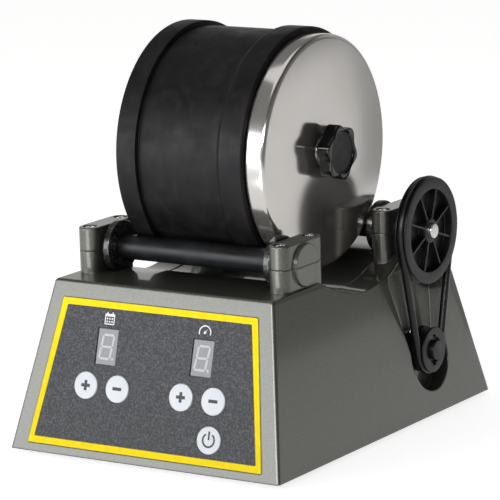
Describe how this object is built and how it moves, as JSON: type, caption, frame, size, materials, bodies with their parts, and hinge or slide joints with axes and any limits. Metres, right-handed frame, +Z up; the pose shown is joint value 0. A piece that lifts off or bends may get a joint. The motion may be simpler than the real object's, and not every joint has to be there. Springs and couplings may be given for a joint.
{
  "type": "rotary rock tumbler",
  "caption": "Belt-driven tumbler: a lidded rubber barrel turns on two rollers above a tapered housing with a sloping control panel.",
  "frame": {"origin": "on the floor under the middle of the housing", "axes": "+Z up, +X towards the lid and belt end, -Y towards the control panel"},
  "size_m": [0.1648, 0.2198, 0.2142],
  "materials": {
    "paint": "metallic pewter paint with fine flake, satin gloss",
    "barrel_rubber": "moulded black rubber with a faint grey haze",
    "sleeve_rubber": "ground rubber sleeve, matte",
    "belt_rubber": "round rubber belt, slightly polished",
    "foot_rubber": "matte moulded rubber",
    "pulley_plastic": "dark grey moulded plastic, satin",
    "flange_plastic": "glossy black plastic, a little greasy",
    "knob_plastic": "glossy black plastic",
    "lid_steel": "brushed stainless steel with a polished rim",
    "shaft_steel": "turned bright steel",
    "screw_steel": "zinc plated screw",
    "bronze": "sintered bronze, oily",
    "panel_film": "charcoal printed film with a fine speckle",
    "border_film": "yellow printed film, satin",
    "display_epoxy": "grey display face",
    "segment_white": "unlit frosted segment",
    "button_white": "white moulded cap",
    "print_dark": "dark printed mark",
    "print_white": "white printed mark",
    "board": "green solder mask",
    "motor_steel": "plain plated steel can",
    "plate_plastic": "black textured plastic"
  },
  "bodies": {
    "base": {"base_housing": "paint", "bottom_plate": "plate_plastic", "foot_front_left": "foot_rubber", "plate_screw_front_left": "screw_steel", "foot_front_right": "foot_rubber", "plate_screw_front_right": "screw_steel", "foot_rear_left": "foot_rubber", "plate_screw_rear_left": "screw_steel", "foot_rear_right": "foot_rubber", "plate_screw_rear_right": "screw_steel", "control_panel": "panel_film", "panel_border": "border_film", "days_display": "display_epoxy", "speed_display": "display_epoxy", "control_board": "board", "power_jack": "plate_plastic", "front_left_bearing_cap": "paint", "front_left_bushing": "bronze", "front_left_cap_screw_a": "screw_steel", "front_left_cap_screw_b": "screw_steel", "rear_left_bearing_cap": "paint", "rear_left_bushing": "bronze", "rear_left_cap_screw_a": "screw_steel", "rear_left_cap_screw_b": "screw_steel", "front_right_bearing_cap": "paint", "front_right_bushing": "bronze", "front_right_cap_screw_a": "screw_steel", "front_right_cap_screw_b": "screw_steel", "rear_right_bearing_cap": "paint", "rear_right_bushing": "bronze", "rear_right_cap_screw_a": "screw_steel", "rear_right_cap_screw_b": "screw_steel", "drive_belt": "belt_rubber", "gearbox": "motor_steel", "motor_can": "motor_steel", "gearbox_screw_lower": "screw_steel", "gearbox_screw_upper": "screw_steel"},
    "front_roller": {"front_shaft": "shaft_steel", "front_roller_sleeve": "sleeve_rubber", "front_left_disc": "flange_plastic", "front_right_disc": "flange_plastic"},
    "rear_roller": {"rear_shaft": "shaft_steel", "rear_roller_sleeve": "sleeve_rubber", "rear_left_disc": "flange_plastic", "rear_right_disc": "flange_plastic", "driven_pulley": "pulley_plastic"},
    "motor_drive": {"motor_shaft": "shaft_steel", "motor_pulley": "pulley_plastic"},
    "barrel_stud": {"lid_stud": "shaft_steel"},
    "barrel": {"barrel": "barrel_rubber", "inner_lid": "barrel_rubber", "steel_lid": "lid_steel"},
    "knob_washer": {"knob_washer": "screw_steel"},
    "knob": {"lid_knob": "knob_plastic", "knob_insert": "knob_plastic"},
    "days_plus_button": {"days_plus_button": "button_white"},
    "days_minus_button": {"days_minus_button": "button_white"},
    "speed_plus_button": {"speed_plus_button": "button_white"},
    "speed_minus_button": {"speed_minus_button": "button_white"},
    "power_button": {"power_button": "button_white"}
  },
  "joints": [
    {"name": "days_plus_press", "type": "slide", "parent": "base", "child": "days_plus_button", "axis": [0, 0.964, -0.2658], "range_m": [0, 0.0006], "stiffness_N_per_m": 500, "springref_m": -0.001},
    {"name": "days_minus_press", "type": "slide", "parent": "base", "child": "days_minus_button", "axis": [0, 0.964, -0.2658], "range_m": [0, 0.0006], "stiffness_N_per_m": 500, "springref_m": -0.001},
    {"name": "speed_plus_press", "type": "slide", "parent": "base", "child": "speed_plus_button", "axis": [0, 0.964, -0.2658], "range_m": [0, 0.0006], "stiffness_N_per_m": 500, "springref_m": -0.001},
    {"name": "speed_minus_press", "type": "slide", "parent": "base", "child": "speed_minus_button", "axis": [0, 0.964, -0.2658], "range_m": [0, 0.0006], "stiffness_N_per_m": 500, "springref_m": -0.001},
    {"name": "power_press", "type": "slide", "parent": "base", "child": "power_button", "axis": [0, 0.964, -0.2658], "range_m": [0, 0.0006], "stiffness_N_per_m": 500, "springref_m": -0.001},
    {"name": "front_roller_spin", "type": "hinge", "parent": "base", "child": "front_roller", "pos_m": [0, -0.0504, 0.1012], "axis": [1, 0, 0], "continuous": true},
    {"name": "rear_roller_spin", "type": "hinge", "parent": "base", "child": "rear_roller", "pos_m": [0, 0.0524, 0.1012], "axis": [1, 0, 0], "continuous": true},
    {"name": "motor_spin", "type": "hinge", "parent": "base", "child": "motor_drive", "pos_m": [0, 0.0532, 0.0362], "axis": [1, 0, 0], "continuous": true},
    {"name": "barrel_lift", "type": "slide", "parent": "base", "child": "barrel_stud", "axis": [0, 0, 1], "range_m": [0, 0.09]},
    {"name": "barrel_spin", "type": "hinge", "parent": "barrel_stud", "child": "barrel", "pos_m": [0, 0.001, 0.14996], "axis": [1, 0, 0], "continuous": true},
    {"name": "knob_travel", "type": "slide", "parent": "barrel", "child": "knob_washer", "axis": [1, 0, 0], "range_m": [0, 0.0063]},
    {"name": "knob_turn", "type": "hinge", "parent": "knob_washer", "child": "knob", "pos_m": [0, 0.001, 0.14996], "axis": [1, 0, 0], "range_deg": [0, 1800]}
  ],
  "couplings": [
    {"joint": "front_roller_spin", "follows": "barrel_spin", "ratio": -9.8769},
    {"joint": "rear_roller_spin", "follows": "barrel_spin", "ratio": -9.8769},
    {"joint": "motor_spin", "follows": "barrel_spin", "ratio": -23.075},
    {"joint": "knob_travel", "follows": "knob_turn", "m_per_rad": 0.00019894}
  ]
}
